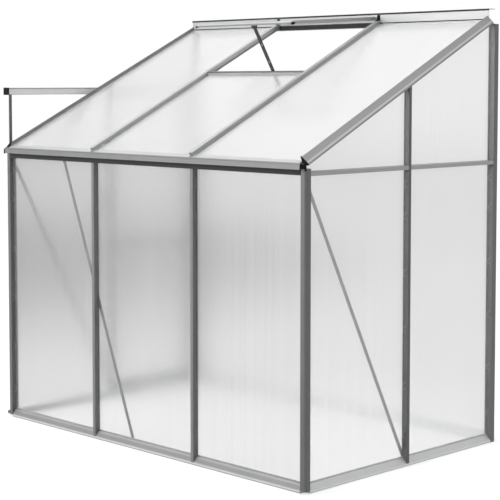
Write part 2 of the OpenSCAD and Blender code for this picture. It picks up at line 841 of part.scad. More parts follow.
base_front();
base_right();
base_left();
base_back();
front_left_post();
front_right_post();
back_left_post();
back_right_post();
front_left_mullion();
front_right_mullion();
right_mullion();
left_mullion();
eave_gutter();
end_caps();
right_rails();
left_rails();
left_end_rafter();
right_end_rafter();
left_rafter();
right_rafter();
ridge_bar();
front_left_panel();
front_middle_panel();
front_right_panel();
right_front_panel();
right_back_panel();
right_front_top_panel();
right_back_top_panel();
left_front_panel();
left_front_top_panel();
over_door_panel();
roof_left_panel();
roof_middle_panel();
roof_right_panel();
vent_sill();
vent_sash();
vent_panel();
vent_stay();
front_brace();
right_brace();
left_brace();
door_track();
track_strut();
door_guide();
door_stiles();
door_rails();
door_lower_panel();
door_upper_panel();
door_hangers();
door_handle();
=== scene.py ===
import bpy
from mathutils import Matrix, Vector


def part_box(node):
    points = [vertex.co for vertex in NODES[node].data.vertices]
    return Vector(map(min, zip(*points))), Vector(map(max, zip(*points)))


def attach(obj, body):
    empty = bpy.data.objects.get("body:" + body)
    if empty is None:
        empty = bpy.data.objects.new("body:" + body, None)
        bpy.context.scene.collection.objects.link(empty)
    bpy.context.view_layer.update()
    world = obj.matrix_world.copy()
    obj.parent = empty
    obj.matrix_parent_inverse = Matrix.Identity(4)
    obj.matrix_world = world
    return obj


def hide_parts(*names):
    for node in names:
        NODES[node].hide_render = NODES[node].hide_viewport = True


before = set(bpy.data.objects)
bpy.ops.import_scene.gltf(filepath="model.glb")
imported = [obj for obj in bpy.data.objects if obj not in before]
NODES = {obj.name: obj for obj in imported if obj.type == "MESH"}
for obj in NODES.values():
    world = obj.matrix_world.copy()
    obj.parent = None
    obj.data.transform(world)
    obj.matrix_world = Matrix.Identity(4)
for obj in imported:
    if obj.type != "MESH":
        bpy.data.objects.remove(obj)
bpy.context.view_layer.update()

import math

import bmesh
import bpy
from mathutils import Matrix, Vector

MM = 0.001
scene = bpy.context.scene

# Sizes of the greenhouse in millimetres, as in the part's source
WIDTH, DEPTH, EAVE_H, PITCH = 1900.0, 1200.0, 1215.0, math.radians(26)
GABLE_BAY, BAR_W, BAR_T, RAFTER_W = 611.0, 16.0, 2.5, 20.0
WALL_SET, ROOF_SET, SHEET_T, SEAT_GAP = 19.0, 16.0, 6.0, 0.3
LIP_H, STOP_H, LEDGE_H, UPSTAND_H = 10.0, 2.0, 30.0, 38.0
BRACE_W, BRACE_T, BRACE_RUN, BRACE_DROP = 15.0, 3.0, 233.0, 45.0
EAVE_FACE, GUTTER_OUT, GUTTER_H, GUTTER_BACK, DRIP = 18.0, 33.0, 20.0, 17.0, 14.0
VERGE_FOOT, VERGE_OUT, VERGE_FALL, GUTTER_START = 6.0, 5.0, 26.0, 35.0
RIDGE_D, RIDGE_UP, RIDGE_INSET = 45.0, 30.0, 20.0
VENT_LEN, VENT_OPEN, HINGE_R = 550.0, math.radians(22.5), 5.0
SASH_T, SASH_W, SASH_GAP = 14.0, 16.0, 6.0
STAY_W, STAY_T, STAY_TAIL, STAY_X, STAY_LEAN = 19.0, 3.0, 75.0, 65.0, 45.0
PEG_UNDER, SILL_LAP, SILL_TOP, SILL_BACK, BRACKET_H = 10.0, 10.0, 4.0, 22.0, 6.0
DOOR_IN, DOOR_T, STILE_W, DOOR_LAP = 15.0, 20.0, 28.0, 13.0
DOOR_FOOT, DOOR_MID, TRACK_START, TRACK_IN = 30.0, 760.0, 24.0, 5.5
HANDLE_OUT, HANDLE_Z, HANDLE_LEN = 28.0, 960.0, 150.0

FIN = BAR_W / 2
HALF_RAFTER = RAFTER_W / 2
BAR_D = WALL_SET + SHEET_T + BAR_T
BAY = WIDTH / 3
GUTTER_Z = EAVE_H + EAVE_FACE
GUTTER_TOP = GUTTER_Z + GUTTER_H
ROOF_UNDER = ROOF_SET + SHEET_T
ROOF_Z = GUTTER_Z + BAR_T + GUTTER_BACK + SEAT_GAP + ROOF_UNDER / math.cos(PITCH)
RIDGE_Y = DEPTH - RIDGE_D
RIDGE_TOP = ROOF_Z + RIDGE_Y * math.tan(PITCH) + RIDGE_UP
RIDGE_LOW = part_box("ridge_bar")[0][2] / MM
HINGE_Y = RIDGE_Y - HINGE_R - SEAT_GAP
HINGE_Z = ROOF_Z + RIDGE_Y * math.tan(PITCH) + SASH_T / 2
SASH_SLOPE = PITCH - VENT_OPEN
SASH_X0 = BAY + HALF_RAFTER + SASH_GAP
SASH_X1 = 2 * BAY - HALF_RAFTER - SASH_GAP
SASH_FOOT = -VENT_LEN
VENT_RUN = RIDGE_Y / math.cos(PITCH) - VENT_LEN
DOOR_Y0 = GABLE_BAY + FIN - DOOR_LAP
DOOR_Y1 = DEPTH - BAR_D + DOOR_LAP
DOOR_FACE = -DOOR_IN - DOOR_T

# How deep the small pieces sink into what carries them
SINK = 0.2

# The front left corner of the greenhouse on the ground, in the scene
CORNER = Vector((-0.9225, -0.582, 0.0))


def place(x, y, z):
    return CORNER + Vector((x, y, z)) * MM


def on_front(a, b, n):
    return place(a, n, b)


def on_right(a, b, n):
    return place(WIDTH - n, a, b)


def on_left(a, b, n):
    return place(n, a, b)


def on_roof(a, b, n):
    c, s = math.cos(PITCH), math.sin(PITCH)
    return place(a, b * c - n * s, ROOF_Z + b * s + n * c)


def on_sash(a, b, n):
    c, s = math.cos(SASH_SLOPE), math.sin(SASH_SLOPE)
    return place(a, HINGE_Y + b * c - n * s, HINGE_Z + b * s + n * c)


def roof_at(y):
    return ROOF_Z + y * math.tan(PITCH)


# Sockets of the mix node, by number
MIX_BY, FLOAT_A, FLOAT_B, COLOR_A, COLOR_B = 0, 2, 3, 6, 7
FLOAT_OUT, COLOR_OUT = 0, 2


def fill(made, values):
    """Sets a node's inputs, by name or by number."""
    for key, value in values.items():
        made.inputs[key].default_value = value


def node(tree, kind, values=None, **settings):
    made = tree.nodes.new(kind)
    for key, value in settings.items():
        setattr(made, key, value)
    fill(made, values or {})
    return made


def link(tree, *pairs):
    for source, target in pairs:
        tree.links.new(source, target)


def new_material(name):
    mat = bpy.data.materials.new(name)
    mat.use_nodes = True
    return mat, mat.node_tree, mat.node_tree.nodes["Principled BSDF"]


def new_group(name, inputs, outputs):
    """A node group with its sockets, given as pairs of a name and a kind."""
    group = bpy.data.node_groups.new(name, "ShaderNodeTree")
    for way, sockets in (("INPUT", inputs), ("OUTPUT", outputs)):
        for label, kind in sockets:
            group.interface.new_socket(label, in_out=way, socket_type="NodeSocket" + kind)
    return group, group.nodes.new("NodeGroupInput"), group.nodes.new("NodeGroupOutput")


def grey(level):
    return level, level, level, 1.0


def cool_grey(level):
    return level, level * 1.01, level * 1.02, 1.0


def drawn_lines_group():
    """Fine lines along an extruded bar under a soft clouding: tone, roughness and height."""
    group, enter, leave = new_group(
        "drawn_lines",
        (("Across", "Vector"), ("Dark", "Color"), ("Light", "Color")),
        (("Color", "Color"), ("Roughness", "Float"), ("Height", "Float")),
    )
    spot = node(group, "ShaderNodeTexCoord")
    lines = node(group, "ShaderNodeTexNoise", {"Scale": 900.0, "Detail": 3.0})
    cloud = node(group, "ShaderNodeTexNoise", {"Scale": 14.0, "Detail": 4.0})
    mix = node(group, "ShaderNodeMix", {MIX_BY: 0.45}, data_type="FLOAT")
    tone = node(group, "ShaderNodeMix", data_type="RGBA")
    rough = node(group, "ShaderNodeMapRange", {
        "From Min": 0.3, "From Max": 0.7, "To Min": 0.36, "To Max": 0.5
    })
    link(
        group,
        (enter.outputs["Across"], lines.inputs["Vector"]),
        (spot.outputs["Object"], cloud.inputs["Vector"]),
        (cloud.outputs["Fac"], mix.inputs[FLOAT_A]),
        (lines.outputs["Fac"], mix.inputs[FLOAT_B]),
        (mix.outputs[FLOAT_OUT], tone.inputs[MIX_BY]),
        (enter.outputs["Dark"], tone.inputs[COLOR_A]),
        (enter.outputs["Light"], tone.inputs[COLOR_B]),
        (mix.outputs[FLOAT_OUT], rough.inputs["Value"]),
        (tone.outputs[COLOR_OUT], leave.inputs["Color"]),
        (rough.outputs["Result"], leave.inputs["Roughness"]),
        (lines.outputs["Fac"], leave.inputs["Height"]),
    )
    return group


def fine_grain_group():
    """Fine grain of moulded plastic, rubber and zinc: tone and height."""
    group, enter, leave = new_group(
        "fine_grain",
        (("Size", "Float"), ("Dark", "Color"), ("Light", "Color")),
        (("Color", "Color"), ("Height", "Float")),
    )
    spot = node(group, "ShaderNodeTexCoord")
    grain = node(group, "ShaderNodeTexNoise", {"Detail": 2.0})
    tone = node(group, "ShaderNodeMix", data_type="RGBA")
    link(
        group,
        (spot.outputs["Object"], grain.inputs["Vector"]),
        (enter.outputs["Size"], grain.inputs["Scale"]),
        (grain.outputs["Fac"], tone.inputs[MIX_BY]),
        (enter.outputs["Dark"], tone.inputs[COLOR_A]),
        (enter.outputs["Light"], tone.inputs[COLOR_B]),
        (tone.outputs[COLOR_OUT], leave.inputs["Color"]),
        (grain.outputs["Fac"], leave.inputs["Height"]),
    )
    return group


def flute_streaks_group():
    """Faint streaks along a sheet's flutes: tone and roughness."""
    group, enter, leave = new_group(
        "flute_streaks",
        (("Across", "Vector"), ("Dark", "Color"), ("Light", "Color")),
        (("Color", "Color"), ("Roughness", "Float")),
    )
    streak = node(group, "ShaderNodeTexNoise", {"Scale": 60.0, "Detail": 4.0})
    tone = node(group, "ShaderNodeMix", data_type="RGBA")
    rough = node(group, "ShaderNodeMapRange", {
        "From Min": 0.3, "From Max": 0.7, "To Min": 0.16, "To Max": 0.22
    })
    link(
        group,
        (enter.outputs["Across"], streak.inputs["Vector"]),
        (streak.outputs["Fac"], tone.inputs[MIX_BY]),
        (enter.outputs["Dark"], tone.inputs[COLOR_A]),
        (enter.outputs["Light"], tone.inputs[COLOR_B]),
        (streak.outputs["Fac"], rough.inputs["Value"]),
        (tone.outputs[COLOR_OUT], leave.inputs["Color"]),
        (rough.outputs["Result"], leave.inputs["Roughness"]),
    )
    return group


DRAWN_LINES = drawn_lines_group()
FINE_GRAIN = fine_grain_group()
FLUTE_STREAKS = flute_streaks_group()

# Scales that draw a noise out along one way
LONG = 0.01
LENGTHWISE = {
    "x": (LONG, 1.0, 1.0), "y": (1.0, LONG, 1.0), "z": (1.0, 1.0, LONG), "slope": (1.0, LONG, 1.0)
}
ALONG_ROOF_FLUTES = (1.0, LONG, LONG)


def aluminium(name, way, dark, light):
    """Mill-finish aluminium: the drawn lines run along x, y, z or up the roof's slope."""
    mat, tree, shader = new_material(name)
    spot = node(tree, "ShaderNodeTexCoord")
    tilt = -PITCH if way == "slope" else 0.0
    aim = node(tree, "ShaderNodeMapping", {"Rotation": (tilt, 0.0, 0.0)})
    squeeze = node(tree, "ShaderNodeMapping", {"Scale": LENGTHWISE[way]})
    finish = node(tree, "ShaderNodeGroup", node_tree=DRAWN_LINES)
    fill(finish, {"Dark": cool_grey(dark), "Light": cool_grey(light)})
    bump = node(tree, "ShaderNodeBump", {"Strength": 0.08, "Distance": 0.0004})
    link(
        tree,
        (spot.outputs["Object"], aim.inputs["Vector"]),
        (aim.outputs["Vector"], squeeze.inputs["Vector"]),
        (squeeze.outputs["Vector"], finish.inputs["Across"]),
        (finish.outputs["Color"], shader.inputs["Base Color"]),
        (finish.outputs["Roughness"], shader.inputs["Roughness"]),
        (finish.outputs["Height"], bump.inputs["Height"]),
        (bump.outputs["Normal"], shader.inputs["Normal"]),
    )
    shader.inputs["Metallic"].default_value = 0.35
    return mat


def moulding(name, dark, light, grain, roughness, metallic=0.0, shine=0.5):
    mat, tree, shader = new_material(name)
    finish = node(tree, "ShaderNodeGroup", node_tree=FINE_GRAIN)
    fill(finish, {"Size": grain, "Dark": grey(dark), "Light": grey(light)})
    bump = node(tree, "ShaderNodeBump", {"Strength": 0.15, "Distance": 0.0003})
    link(
        tree,
        (finish.outputs["Color"], shader.inputs["Base Color"]),
        (finish.outputs["Height"], bump.inputs["Height"]),
        (bump.outputs["Normal"], shader.inputs["Normal"]),
    )
    shader.inputs["Roughness"].default_value = roughness
    shader.inputs["Metallic"].default_value = metallic
    shader.inputs["Specular IOR Level"].default_value = shine
    return mat


def twin_wall(name, stretch, dark, light, clear):
    """A translucent sheet: clear is the share of light that passes, the rest makes it milky."""
    mat, tree, shader = new_material(name)
    spot = node(tree, "ShaderNodeTexCoord")
    squeeze = node(tree, "ShaderNodeMapping", {"Scale": stretch})
    streaks = node(tree, "ShaderNodeGroup", node_tree=FLUTE_STREAKS)
    fill(streaks, {"Dark": grey(dark), "Light": grey(light)})
    link(
        tree,
        (spot.outputs["Object"], squeeze.inputs["Vector"]),
        (squeeze.outputs["Vector"], streaks.inputs["Across"]),
        (streaks.outputs["Color"], shader.inputs["Base Color"]),
        (streaks.outputs["Roughness"], shader.inputs["Roughness"]),
    )
    shader.inputs["Transmission Weight"].default_value = clear
    shader.inputs["IOR"].default_value = 1.35
    return mat


# Copies of one mill-finish aluminium, set darker or paler group by group. The spread is painted light and
# shade: darker on upright bars, braces and gutter, paler on rafters, ridge, sash, sills, track and door
BAR = aluminium("bar_aluminium", "z", 0.11, 0.18)
MULLION = aluminium("mullion_aluminium", "z", 0.16, 0.24)
GABLE_BAR = aluminium("gable_bar_aluminium", "z", 0.08, 0.14)
FRONT_BRACE = aluminium("front_brace_aluminium", "z", 0.08, 0.13)
GABLE_BRACE = aluminium("gable_brace_aluminium", "z", 0.25, 0.34)
RAFTER = aluminium("rafter_aluminium", "slope", 0.38, 0.5)
VERGE = aluminium("end_rafter_aluminium", "slope", 0.21, 0.3)
PAINTED_HIGHLIGHT = aluminium("painted_highlight_aluminium", "slope", 0.36, 0.46)
RAIL = aluminium("rail_aluminium", "y", 0.36, 0.46)
TRACK = aluminium("track_aluminium", "y", 0.8, 0.9)
GUTTER = aluminium("gutter_aluminium", "x", 0.18, 0.26)
LIGHT_EDGE = aluminium("edge_aluminium", "x", 0.44, 0.54)
RIDGE = aluminium("ridge_aluminium", "x", 0.42, 0.52)
SASH = aluminium("sash_aluminium", "x", 0.44, 0.54)
SILL = aluminium("sill_aluminium", "x", 0.3, 0.42)
SILL_PAINTED_SHADE = aluminium("sill_band_aluminium", "x", 0.22, 0.3)
SILL_LIP = aluminium("sill_lip_aluminium", "x", 0.58, 0.7)
GABLE_SILL = aluminium("gable_sill_aluminium", "y", 0.58, 0.74)
DOOR_BAR = aluminium("door_aluminium", "z", 0.56, 0.68)
BLACK = moulding("black_moulding", 0.004, 0.012, grain=1400.0, roughness=0.55, shine=0.08)
PROP = moulding("prop_moulding", 0.015, 0.035, grain=1400.0, roughness=0.5)
RUBBER = moulding("seal_rubber", 0.012, 0.024, grain=900.0, roughness=0.7)
ZINC = moulding("zinc_plating", 0.3, 0.45, grain=700.0, roughness=0.35, metallic=0.9)
# One polycarbonate in three tones: each copy's tone is painted light and shade for how light falls on that
# side, darker on the front and paler on the gables
FRONT_SHEET = twin_wall("front_sheet", LENGTHWISE["z"], 0.79, 0.88, clear=0.94)
GABLE_SHEET = twin_wall("gable_sheet", LENGTHWISE["z"], 0.92, 0.99, clear=0.9)
ROOF_SHEET = twin_wall("roof_sheet", ALONG_ROOF_FLUTES, 0.82, 0.91, clear=0.8)

# Which copy each part gets, so that the painted light and shade follow the parts. The pale copies on
# base_back, base_left and the door also lighten their shade as seen through the sheets
FINISH = {}
for names, finish in (
    ("front_left_post front_right_post back_left_post back_right_post track_strut", BAR),
    ("front_left_mullion front_right_mullion", MULLION),
    ("right_mullion left_mullion", GABLE_BAR),
    ("front_brace", FRONT_BRACE),
    ("right_brace left_brace", GABLE_BRACE),
    ("left_rafter right_rafter", RAFTER),
    ("left_end_rafter right_end_rafter", VERGE),
    ("right_rails left_rails door_guide", RAIL),
    ("door_track base_left", TRACK),
    ("eave_gutter", GUTTER),
    ("ridge_bar", RIDGE),
    ("vent_sash", SASH),
    ("base_front", SILL),
    ("vent_sill", LIGHT_EDGE),
    ("base_back", SILL_LIP),
    ("base_right", GABLE_SILL),
    ("door_stiles door_rails", DOOR_BAR),
    ("end_caps door_hangers door_handle", BLACK),
    ("vent_stay", PROP),
):
    for name in names.split():
        FINISH[name] = finish
for name, obj in NODES.items():
    obj.data.materials.clear()
    obj.data.materials.append(FINISH.get(name, FRONT_SHEET))


def piece(name, mesh, finish, body="frame", stands_for=None, smooth=None):
    """Turns a mesh into a piece that rides on a body; smooth is the angle of edges kept sharp."""
    bmesh.ops.recalc_face_normals(mesh, faces=mesh.faces[:])
    data = bpy.data.meshes.new(name)
    mesh.to_mesh(data)
    mesh.free()
    data.materials.append(finish)
    if smooth is not None:
        data.polygons.foreach_set("use_smooth", [True] * len(data.polygons))
        data.set_sharp_from_angle(angle=math.radians(smooth))
    obj = bpy.data.objects.new(name, data)
    scene.collection.objects.link(obj)
    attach(obj, body)
    if stands_for:
        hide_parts(stands_for)
    return obj


def loft(mesh, rings):
    """A closed skin over outlines of as many corners each."""
    rows = [[mesh.verts.new(spot) for spot in ring] for ring in rings]
    mesh.faces.new(rows[0])
    mesh.faces.new(rows[-1])
    for lower, upper in zip(rows, rows[1:]):
        for i in range(len(lower)):
            j = (i + 1) % len(lower)
            mesh.faces.new((lower[i], lower[j], upper[j], upper[i]))


def round_angles(sides):
    return [2 * math.pi * k / sides for k in range(sides)]


def wire(mesh, path, out, width, thick, sides):
    """A rod along a path, width across and thick along out."""
    rings = []
    for i, spot in enumerate(path):
        ahead = (path[min(i + 1, len(path) - 1)] - path[max(i - 1, 0)]).normalized()
        across = ahead.cross(out).normalized()
        lift = across.cross(ahead)
        rings.append([
            spot + across * (math.cos(t) * width * MM / 2) + lift * (math.sin(t) * thick * MM / 2)
            for t in round_angles(sides)
        ])
    loft(mesh, rings)


def turned(mesh, spot, out, profile, sides):
    """A round or many-sided shape about out; profile lists its radii and their heights."""
    out = out.normalized()
    side = out.orthogonal().normalized()
    up = out.cross(side)
    loft(mesh, [
        [
            spot + out * (height * MM) + (side * math.cos(t) + up * math.sin(t)) * (radius * MM)
            for t in round_angles(sides)
        ]
        for radius, height in profile
    ])


def hex_bolt(mesh, spot, out, across=10.0):
    """A hexagon head on a washer, seated on the face at spot."""
    washer = across * 0.62
    corner = across / 2 / math.cos(math.pi / 6)
    turned(mesh, spot, out, ((washer, -SINK), (washer, 1.0)), sides=20)
    turned(mesh, spot, out, ((corner, 0.8), (corner, 4.0), (corner * 0.84, 4.8)), sides=6)


def pan_screw(mesh, spot, out, radius=4.0):
    """A low domed screw head."""
    dome = ((radius, -SINK), (radius, 0.7), (radius * 0.8, 1.6), (radius * 0.4, 2.1))
    turned(mesh, spot, out, dome, sides=16)


def in_fixed_order(mesh):
    """The same mesh with its points and faces sorted, so that each run gives the same one."""
    bmesh.ops.recalc_face_normals(mesh, faces=mesh.faces[:])
    verts = sorted(mesh.verts, key=lambda vert: tuple(vert.co))
    number = {vert: i for i, vert in enumerate(verts)}
    loops = []
    for face in mesh.faces:
        loop = [number[vert] for vert in face.verts]
        first = loop.index(min(loop))
        loops.append(loop[first:] + loop[:first])
    ordered = bmesh.new()
    spots = [ordered.verts.new(vert.co) for vert in verts]
    for loop in sorted(loops):
        ordered.faces.new([spots[i] for i in loop])
    mesh.free()
    return ordered


# Width of one flute of a sheet, how deep its skin dips, and the facets across it
FLUTE, DIP, FACETS = 10.0, 0.22, 4


def fluted_sheet(name, along, finish, body="frame"):
    """A twin-wall sheet on its slab's outline: both skins dip a little between the webs."""
    mesh = bmesh.new()
    mesh.from_mesh(NODES[name].data)
    bmesh.ops.remove_doubles(mesh, verts=mesh.verts[:], dist=1e-6)
    bmesh.ops.dissolve_limit(mesh, angle_limit=0.02, verts=mesh.verts[:], edges=mesh.edges[:])
    broad = max(mesh.faces, key=lambda face: face.calc_area())
    out = broad.normal.copy()
    bmesh.ops.delete(mesh, geom=[face for face in mesh.faces if face is not broad], context="FACES")
    across = along.cross(out).normalized()
    reach = [vert.co.dot(across) for vert in mesh.verts]
    low, high = min(reach), max(reach)
    step = FLUTE * MM / FACETS
    for i in range(1, int((high - low) / step)):
        bmesh.ops.bisect_plane(
            mesh, geom=mesh.verts[:] + mesh.edges[:] + mesh.faces[:],
            plane_co=across * (low + i * step), plane_no=across
        )
    outer = mesh.verts[:]
    grown = bmesh.ops.extrude_face_region(mesh, geom=mesh.faces[:])
    inner = [vert for vert in grown["geom"] if isinstance(vert, bmesh.types.BMVert)]
    for verts, base, way in ((outer, 0.0, -1.0), (inner, -SHEET_T * MM, 1.0)):
        for vert in verts:
            dip = (1 - math.cos(2 * math.pi * (vert.co.dot(across) - low) / (FLUTE * MM))) / 2
            vert.co += out * (base + way * dip * DIP * MM)
    label = name.replace("panel", "sheet")
    sheet = piece(label, in_fixed_order(mesh), finish, body, name, smooth=40)
    sheet.visible_shadow = False


UPRIGHT = Vector((0.0, 0.0, 1.0))
UP_SLOPE = Vector((0.0, math.cos(PITCH), math.sin(PITCH)))
UP_SASH = Vector((0.0, math.cos(SASH_SLOPE), math.sin(SASH_SLOPE)))
for name in NODES:
    if name.startswith("roof_"):
        fluted_sheet(name, UP_SLOPE, ROOF_SHEET)
    elif name == "vent_panel":
        fluted_sheet(name, UP_SASH, ROOF_SHEET)
    elif name.startswith("front_") and name.endswith("_panel"):
        fluted_sheet(name, UPRIGHT, FRONT_SHEET)
    elif name.endswith("_panel"):
        fluted_sheet(name, UPRIGHT, GABLE_SHEET, "door" if name.startswith("door_") else "frame")

CLIP_HEIGHTS = (130.0, 330.0, 560.0, 790.0, 1020.0, 1150.0)
CLIP_WIRE = 1.5
# Half a clip's bow from its end to its middle: away from the bar, along it, out from the sheet
HALF_BOW = ((0.7, -17, 9), (0.9, -14, 8.6), (3, -10, 5), (8, -5, 1.2), (10, -2, 0.75))


def wall_clips(name, wall, sides):
    """Spring wire clips, bowed between the side of a bar and the sheet beside it."""
    mesh = bmesh.new()
    bow = HALF_BOW + tuple((a, -b, n) for a, b, n in reversed(HALF_BOW))
    out = (wall(0, 0, -1) - wall(0, 0, 0)).normalized()
    for edge, way in sides:
        for height in CLIP_HEIGHTS:
            path = [wall(edge + way * a, height + b, WALL_SET - n) for a, b, n in bow]
            wire(mesh, path, out, CLIP_WIRE, CLIP_WIRE, sides=6)
    piece(name, mesh, ZINC, smooth=60)


wall_clips("front_clips", on_front, (
    (BAR_D, 1), (BAY - FIN, -1), (BAY + FIN, 1),
    (2 * BAY - FIN, -1), (2 * BAY + FIN, 1), (WIDTH - BAR_D, -1)
))
wall_clips("right_clips", on_right, (
    (BAR_D, 1), (GABLE_BAY - FIN, -1), (GABLE_BAY + FIN, 1), (DEPTH - BAR_D, -1)
))
wall_clips("left_clips", on_left, ((BAR_D, 1), (GABLE_BAY - FIN, -1)))


def strip(name, where, section, ends, finish, foot=(0.0, 0.0)):
    """Strips of one section, measured from its foot; ends are pairs of places along them."""
    mesh = bmesh.new()
    for start, end in ends:
        loft(mesh, [[where(a, foot[0] + b, foot[1] + n) for b, n in section] for a in (start, end)])
    piece(name, mesh, finish)


BETWEEN_POSTS = ((BAR_D, WIDTH - BAR_D),)
BETWEEN_GABLE_POSTS = ((BAR_D, DEPTH - BAR_D),)
BETWEEN_BARS = ((BAR_D, BAY - FIN), (BAY + FIN, 2 * BAY - FIN), (2 * BAY + FIN, WIDTH - BAR_D))
IN_VENT_BAY = ((BAY + HALF_RAFTER + 1, 2 * BAY - HALF_RAFTER - 1),)
SIDE_BAYS = ((BAR_D + 11, BAY - HALF_RAFTER - 1), (2 * BAY + HALF_RAFTER + 1, WIDTH - BAR_D - 11))
ROOF_BAYS = ((BAR_D + 1, BAY - 5), (BAY + 5, 2 * BAY - 5), (2 * BAY + 5, WIDTH - BAR_D - 1))

# Rubber strips under the gutter and along the ridge's edges, some of them painted shade, and the raised
# edge of the vent's sill
# A rubber seal under the gutter, which also stands as painted shade for the gutter's shadow on the eave's
# face
strip("eave_seal_and_shade", place, [
    (SINK, -5.0), (-1.6, -5.0), (-2.0, 1.0), (-1.2, 4.0), (-2.0, 7.0), (-1.2, 11.0), (-2.0, 13.0),
    (-1.6, EAVE_FACE - 0.6), (SINK, EAVE_FACE - 0.2)
], BETWEEN_POSTS, RUBBER, foot=(0.0, EAVE_H))
strip("ridge_seal", place, [
    (SINK, -8.0), (-2.2, -7.2), (-2.8, -3.0), (-2.0, -0.4), (SINK, -0.2)
], ((RIDGE_INSET, WIDTH - RIDGE_INSET),), RUBBER, foot=(RIDGE_Y, RIDGE_TOP))
# A dark strip of painted shade: the ridge's shaded inner face, seen through the open vent
strip("vent_bay_shade", place, [
    (SINK, 0.4), (-1.8, 1.0), (-2.4, 8.0), (-1.4, 10.0), (-2.4, 12.0), (-1.8, 22.0), (SINK, 23.0)
], IN_VENT_BAY, RUBBER, foot=(RIDGE_Y, RIDGE_LOW))
# A dark strip along the ridge's lower edge in the side bays
strip("ridge_foot_strip", place, [
    (SINK, 17.0), (-1.6, 17.2), (-2.2, 19.5), (-1.6, 21.6), (SINK, 22.0)
], SIDE_BAYS, RUBBER, foot=(RIDGE_Y, RIDGE_LOW))
strip("sill_edge", on_roof, [
    (SILL_LAP + 0.5, -SILL_TOP - SINK), (SILL_LAP + 0.8, -1.0), (SILL_LAP + 3, 0.2),
    (SILL_BACK - 3, 0.2), (SILL_BACK - 1, -1.0), (SILL_BACK - 0.5, -SILL_TOP - SINK)
], IN_VENT_BAY, BAR, foot=(VENT_RUN, 0.0))

# Rolled edge of the gutter, and channels on the lower ends of the roof sheets
BEAD_W, BEAD_H, BEAD_UP = 3.2, 3.4, 2.6
strip("gutter_bead", place, [
    (BEAD_W * math.cos(t), BEAD_H * math.sin(t)) for t in round_angles(14)
], ((GUTTER_START + 0.2, WIDTH - 0.2),), GUTTER,
    foot=(BEAD_W - GUTTER_OUT, GUTTER_TOP + BEAD_UP))
CHANNEL = DRIP + 6.0
strip("sheet_ends", on_roof, [
    (-1.2, -SHEET_T - 1.0), (CHANNEL, -SHEET_T - 1.0), (CHANNEL, -SHEET_T + 0.4), (0.6, -SHEET_T + 0.4),
    (0.6, -0.4), (CHANNEL, -0.4), (CHANNEL, 1.0), (-1.2, 1.0)
], ROOF_BAYS, LIGHT_EDGE, foot=(-DRIP, -ROOF_SET))

# Rounded lips of the three sills, in pale tones that are painted highlight, and a band of painted shade on
# the sloping face of the front one
LIP = [(0.4, 3.4), (-0.8, 3.8), (-1.2, 6.4), (-0.8, LIP_H - 0.8), (0.4, LIP_H - 0.2)]
strip("front_lip", place, LIP, BETWEEN_POSTS, SILL_LIP)
for name, wall in (("right_lip", on_right), ("left_lip", on_left)):
    strip(
        name, lambda y, inward, z, wall=wall: wall(y, z, inward),
        LIP, BETWEEN_GABLE_POSTS, TRACK
    )
SILL_RUN, SILL_RISE = WALL_SET - STOP_H, LEDGE_H + STOP_H - LIP_H
SILL_FACE = math.hypot(SILL_RUN, SILL_RISE)
# Painted shade on the upper part of the front sill's sloping face
strip("sill_painted_shade", place, [
    (SILL_RUN * share - lift * SILL_RISE / SILL_FACE, SILL_RISE * share + lift * SILL_RUN / SILL_FACE)
    for share, lift in ((0.12, -SINK), (0.14, 0.5), (0.7, 0.5), (0.72, -SINK))
], BETWEEN_BARS, SILL_PAINTED_SHADE, foot=(0.0, LIP_H))


def verge_highlights():
    """A strip of painted highlight on the sloping face of each end rafter, near its outer edge."""
    mesh = bmesh.new()
    reach = BAR_D + VERGE_OUT
    lean = math.hypot(reach, VERGE_FALL)
    section = []
    for share, lift in ((0.7, -SINK), (0.71, 0.5), (0.73, 0.8), (0.89, 0.8), (0.91, 0.5), (0.92, -SINK)):
        x = BAR_D - reach * share - lift * VERGE_FALL / lean
        section.append((x, VERGE_FALL * share - lift * reach / lean))
    for edge, way in ((0.0, 1), (WIDTH, -1)):
        loft(mesh, [
            [place(edge + way * x, y, roof_at(y) - n / math.cos(PITCH)) for x, n in section]
            for y in (VERGE_FOOT + 0.5, RIDGE_Y - 0.5)
        ])
    piece("verge_highlights", mesh, PAINTED_HIGHLIGHT)


def track_lines():
    """Darker edges along the inner face of the door's track."""
    mesh = bmesh.new()
    low, high = [corner[2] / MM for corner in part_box("door_track")]
    sunk, proud = -TRACK_IN - SINK, 0.4 - TRACK_IN
    for z0, z1 in ((low + 0.2, low + 2.6), (high - 6.0, high - 0.2)):
        section = [(sunk, z0), (proud, z0 + 0.3), (proud, z1 - 0.3), (sunk, z1)]
        loft(mesh, [[place(x, y, z) for x, z in section] for y in (TRACK_START + 0.5, DEPTH - 4.5)])
    piece("track_lines", mesh, RAIL)


verge_highlights()
track_lines()

# Black covers where the middle rafters meet the ridge
COVER_NEAR, COVER_FAR = RIDGE_Y - 14.0, RIDGE_Y - 16.0
for name, x in (("left_ridge_cover", BAY), ("right_ridge_cover", 2 * BAY)):
    strip(name, place, [
        (RIDGE_Y + SINK, RIDGE_TOP - 8.5), (RIDGE_Y - 2.6, RIDGE_TOP - 9.0),
        (RIDGE_Y - 3.0, roof_at(RIDGE_Y) + 3.0), (COVER_NEAR, roof_at(COVER_NEAR) + 2.0),
        (COVER_FAR, roof_at(COVER_FAR) - 0.4), (RIDGE_Y + SINK, roof_at(RIDGE_Y) - 0.4)
    ], ((x - 6.0, x + HALF_RAFTER),), BLACK)

